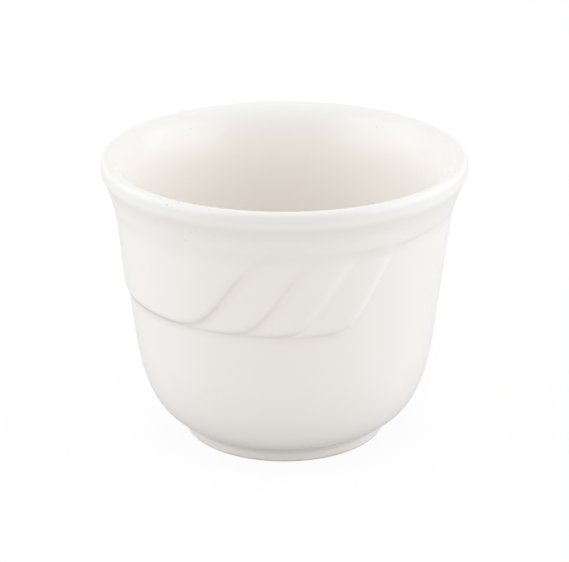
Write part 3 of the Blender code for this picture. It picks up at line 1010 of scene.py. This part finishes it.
collar, add, given = new_tree(
    "Drape collar",
    {
        "Wall line": "Object", "Fold": FOLDS[0], "Slope": SLOPES[0], "Fold middle": FOLD_MIDDLE,
        "Bow": FOLD_BOW, "Bow reach": BOW_REACH, "Bow limit": 4.0, "Corner": DRAPE_CORNER,
        "High corner": HIGH_CORNER, "Corner lift": 1.4, "High lift": 3.0,
        "Half way round": pi * FOLD_RADIUS, "Columns": COLLAR_COLUMNS, "Rows": COLLAR_ROWS,
        "Relief end": RELIEF_END, "Top tuck": 0.0005, "Edge fall": 0.0042, "Edge band": 0.0032,
        "Edge rows": EDGE_ROWS, "Material": "Material",
    },
    {"Mesh": "Geometry"},
)
grid = add("MeshGrid", 1.0, 1.0, given["Columns"], given["Rows"])
x, y, _ = add("SeparateXYZ", add("InputPosition")).outputs
doubled = add("MULTIPLY", x, 2.0)
round_wall = add("MULTIPLY", doubled, given["Half way round"])
across = add("ABSOLUTE", round_wall)
low = add("Group", {"Across": across}, node_tree=lower).outputs
beyond = add("SUBTRACT", across, given["Fold"])
steep = add("TANGENT", given["Slope"])
climb = add("MULTIPLY", beyond, steep)
share = add("DIVIDE", climb, given["Bow reach"])
squared = add("MULTIPLY", share, share)
limited = add("MINIMUM", squared, given["Bow limit"])
bowed = add("MULTIPLY_ADD", limited, given["Bow"], beyond)
on_fold = add("MULTIPLY_ADD", bowed, steep, given["Fold middle"])
corner = add("MULTIPLY", given["Corner"], given["Corner lift"])
hung = add("SMOOTH_MAX", on_fold, low["Hem"], corner)
high_corner = add("MULTIPLY", given["High corner"], given["High lift"])
lower_line = add("SMOOTH_MIN", hung, low["Collar"], high_corner)
print(f"{collar.name}: a band of {COLLAR_COLUMNS} by {COLLAR_ROWS} points")

# %% Tree: heights of the collar's rows
up = add("ADD", y, GRID_HALF, use_clamp=True)
edge_share = add("MapRange", up, 0.0, given["Edge rows"])
crowded = add("FloatCurve", {"Value": edge_share}, profile=ROW_PROFILE)
fall = add("SUBTRACT", 0.0, given["Edge fall"])
near_edge = add("MapRange", crowded, 0.0, 1.0, fall, given["Edge band"])
by_edge = add("ADD", lower_line, near_edge)
rest = add("MapRange", up, given["Edge rows"])
high = add("ADD", given["Relief end"], given["Top tuck"])
spread = add("FloatCurve", {"Value": rest}, profile=TOP_PROFILE)
full_height = add("MapRange", spread, 0.0, 1.0, by_edge, high)
height = add("MINIMUM", full_height, high)
print(f"{collar.name}: {COLLAR_ROWS * EDGE_ROWS:.0f} rows by the edge")

# %% Tree: the collar's skin
here = {"Across": across, "Height": height, "Low corner": given["Corner"]}
here |= {label: given[label] for label in ("Fold", "Slope")}
inside = add("Group", here, node_tree=edge).outputs["Inside"]
over = add("SUBTRACT", height, given["Relief end"])
off_middle = add("ABSOLUTE", y)
inner = add("LESS_THAN", off_middle, GRID_BORDER)
here = {"Grid": grid, "Across": round_wall, "Height": height, "Inside": inside, "Inner": inner}
here |= {"Under a neighbour": over, "Wall line": given["Wall line"]}
finish_tree(collar, add("Group", here, node_tree=skin), given["Material"])

# %% [markdown]
# ## Laying the drapery
# Both trees need the wall's radius at any height. They read it from a guide line whose points stand at the
# outline's heights and carry its radii, so the skins fit the bowl whatever its outline is.

# %% Lay the collar and the pleats on the wall
wall_line = guide("wall_line", [(0.0, 0.0, point.z) for point in wall_points])
radii = wall_line.data.attributes.new("wall_radius", "FLOAT", "POINT")
radii.data.foreach_set("value", [point.x for point in wall_points])
drape_collar = make("glazed_drape_collar", collar, {"Wall line": wall_line, "Material": glaze})
hand_over(drape_collar, "drape_collar")
for side_name, side in (("front", -1.0), ("back", 1.0)):
    for number in range(1, len(FOLDS)):
        sink = SKIN_SINK + SINK_GAIN * number
        sizes = {"Wall line": wall_line, "Side": side, "Sink": sink, "Material": glaze}
        sizes |= {"Fold": FOLDS[number], "Slope": SLOPES[number]}
        sizes |= {"Fold before": FOLDS[number - 1], "Slope before": SLOPES[number - 1]}
        if number == 1:
            sizes["Corner before"] = DRAPE_CORNER
        node = f"pleat_{side_name}_{number}"
        hand_over(make("glazed_" + node, pleat, sizes), node)
bpy.data.objects.remove(wall_line)

# %% [markdown]
# ## The table
# The cup stands on a white sheet that runs out of sight. A real sheet under soft light is a little grey, so
# the camera and reflections see it lifted to white with the cup's faint shadow kept on it. The light that
# it throws back up under the belly stays that of plain pale paper.

# %% White sheet
SHEET_HALF = 4.0
SHEET_LIFT = 0.9
WHITE = linear("#FFFFFF")
LIT_PAPER = linear("#F8F8F8")
PALE_PAPER = linear("#D2D2D2")


def stage_plane(name, corners, material):
    """Flat sheet or card that belongs to the studio and not to the cup."""
    mesh = bpy.data.meshes.new(name)
    mesh.from_pydata(corners, [], [(0, 1, 2, 3)])
    mesh.materials.append(material)
    plane = new_object(name, mesh)
    return plane


def level_square(half, height):
    """Corners of a level square round the axis."""
    return [(x * half, y * half, height) for x, y in ((-1, -1), (1, -1), (1, 1), (-1, 1))]


def looked_at(add):
    """Socket that is 1 where the camera sees a surface, straight or in a reflection or through glass."""
    path = add("LightPath").outputs
    direct = add("ADD", path["Is Camera Ray"], path["Is Glossy Ray"])
    return add("ADD", direct, path["Is Transmission Ray"], use_clamp=True)


paper, add = new_material("white_paper")
pale = add("BsdfDiffuse", PALE_PAPER)
lit = add("BsdfDiffuse", LIT_PAPER)
glow = add("Emission", WHITE, 1.0)
lifted = add("MixShader", SHEET_LIFT, lit, glow)
mixed = add("MixShader", looked_at(add), pale, lifted)
add("OutputMaterial", {"Surface": mixed})
stage_plane("sheet", level_square(SHEET_HALF, 0.0), paper)
print(f"sheet: {2 * SHEET_HALF} m across")

# %% [markdown]
# ## The light
# A softbox on each side lights the flanks and leaves the front a little greyer, which is what shows the
# folds. Soft light from the whole room fills the rest. Two sheets are there only for the glaze to mirror. A
# low dark card stands for the darker side of the studio, where the camera is, and shows inside the bowl. A
# grey mat round the cup gives its outline a thin grey edge against the white.

# %% Room light
ROOM_FILL = 0.855
ROOM_COLOUR = linear("#FFFBF5")
world = bpy.data.worlds.new("studio")
bpy.context.scene.world = world
world.use_nodes = True
world.node_tree.nodes.clear()
add = adder(world.node_tree)
fill = add("Background", ROOM_COLOUR, ROOM_FILL)
white = add("Background", WHITE, 1.0)
mixed = add("MixShader", looked_at(add), fill, white)
add("OutputWorld", {"Surface": mixed})
print(f"room light: strength {ROOM_FILL}")


# %% Softboxes
LAMP_COLOUR = linear("#E5EFFF")
LAMP_DISTANCE = 0.7
LAMP_WIDTH = 0.9


def direction(azimuth, elevation):
    """Direction away from the cup, in degrees; azimuth 0 is the camera's side."""
    turn, lift = radians(azimuth), radians(elevation)
    return Vector((sin(turn) * cos(lift), -cos(turn) * cos(lift), sin(lift)))


def softbox(name, azimuth, elevation, height, radiance):
    """Lamp behind a diffuser, aimed at the cup's middle."""
    lamp = bpy.data.lights.new(name, "AREA")
    lamp.shape = "RECTANGLE"
    lamp.size = LAMP_WIDTH
    lamp.size_y = height
    lamp.energy = radiance * pi * LAMP_WIDTH * height
    lamp.color = LAMP_COLOUR[:3]
    box = new_object(name, lamp)
    away = direction(azimuth, elevation)
    box.location = Vector((0.0, 0.0, CUP_HEIGHT / 2)) + LAMP_DISTANCE * away
    box.rotation_euler = (-away).to_track_quat("-Z", "Y").to_euler()
    print(f"{name}: {azimuth:.0f} degrees round, {elevation:.0f} up, radiance {radiance}")


softbox("softbox_right", azimuth=85.0, elevation=21.0, height=0.48, radiance=1.91)
softbox("softbox_left", azimuth=-82.0, elevation=27.0, height=0.55, radiance=1.54)

# %% Dark card and grey mat
CARD_DISTANCE = 0.58
CARD_LEFT = -0.55
CARD_RIGHT = 0.66
CARD_TOP = 0.52
MAT_HALF = 0.45
MAT_LIFT = 0.0003
card_edges = ((CARD_LEFT, 0.0), (CARD_RIGHT, 0.0), (CARD_RIGHT, CARD_TOP), (CARD_LEFT, CARD_TOP))
for name, colour, corners in (
    ("dark_card", "#303030", [(x, -CARD_DISTANCE, z) for x, z in card_edges]),
    ("grey_mat", "#DADADA", level_square(MAT_HALF, MAT_LIFT)),
):
    dull_paper, add = new_material(name)
    add("OutputMaterial", {"Surface": add("BsdfDiffuse", linear(colour))})
    card = stage_plane(name, corners, dull_paper)
    card.visible_camera = card.visible_diffuse = card.visible_shadow = card.visible_transmission = False
print(f"dark card {CARD_RIGHT - CARD_LEFT:.2f} by {CARD_TOP} m, grey mat {2 * MAT_HALF} m across")

# %% [markdown]
# ## The camera
# The picture is taken with a long lens from a little above the rim. Its place comes from the rim's ellipse
# and the outline of the cup: the height of the ellipse gives the elevation, and how much wider the near
# half looks than the far half gives the distance.

# %% Camera
SENSOR_WIDTH = 36.0
VIEW_ELEVATION = 21.38
VIEW_DISTANCE = 0.4572
VIEW_HEIGHT = 0.0322
VIEW_LENS = 136.16
VIEW_ROLL = -0.073
camera = new_object("camera", bpy.data.cameras.new("camera"))
camera.data.lens = VIEW_LENS
camera.data.sensor_width = SENSOR_WIDTH
away = direction(0.0, VIEW_ELEVATION)
camera.location = Vector((0.0, 0.0, VIEW_HEIGHT)) + VIEW_DISTANCE * away
level_view = (-away).to_track_quat("-Z", "Y")
camera.rotation_euler = (level_view @ Quaternion((0.0, 0.0, 1.0), radians(VIEW_ROLL))).to_euler()
bpy.context.scene.camera = camera
bpy.context.scene.view_settings.view_transform = "Standard"
print(f"camera: {VIEW_LENS} mm lens, {VIEW_ELEVATION} degrees up, {VIEW_DISTANCE} m away")
